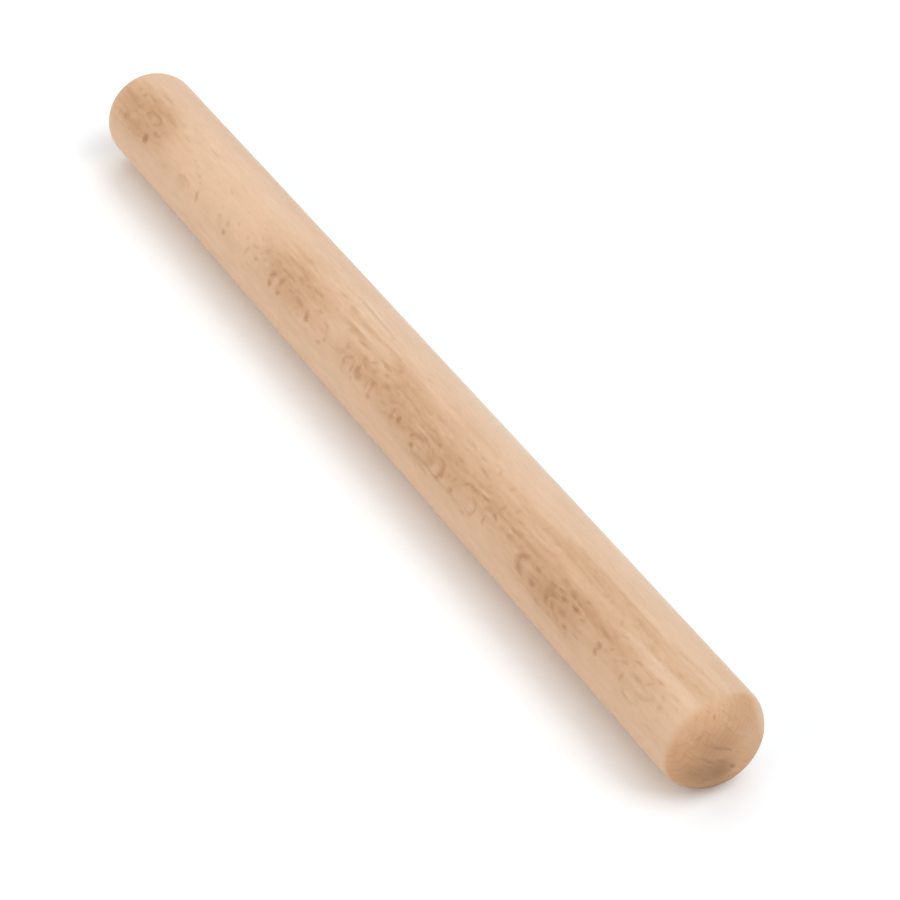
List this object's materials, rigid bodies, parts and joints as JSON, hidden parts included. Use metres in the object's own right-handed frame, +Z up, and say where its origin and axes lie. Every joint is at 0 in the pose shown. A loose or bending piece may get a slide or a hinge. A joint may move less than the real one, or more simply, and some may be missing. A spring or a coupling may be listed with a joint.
{
  "type": "french rolling pin",
  "caption": "Plain straight wooden rolling pin without handles: a turned solid rod with a cylindrical barrel and softly rounded, slightly domed ends.",
  "frame": {"origin": "on the rod's axis at mid-length, which is also its centre of mass", "axes": "+X along the rod's axis, +Z up as it lies on a worktop; both ends are alike, so +X and -X are interchangeable"},
  "size_m": [0.5, 0.045, 0.0449],
  "materials": {
    "beech": "turned and sanded smooth, bare, with end grain on both domed ends"
  },
  "bodies": {
    "root": {"rolling_pin": "beech"}
  },
  "joints": []
}
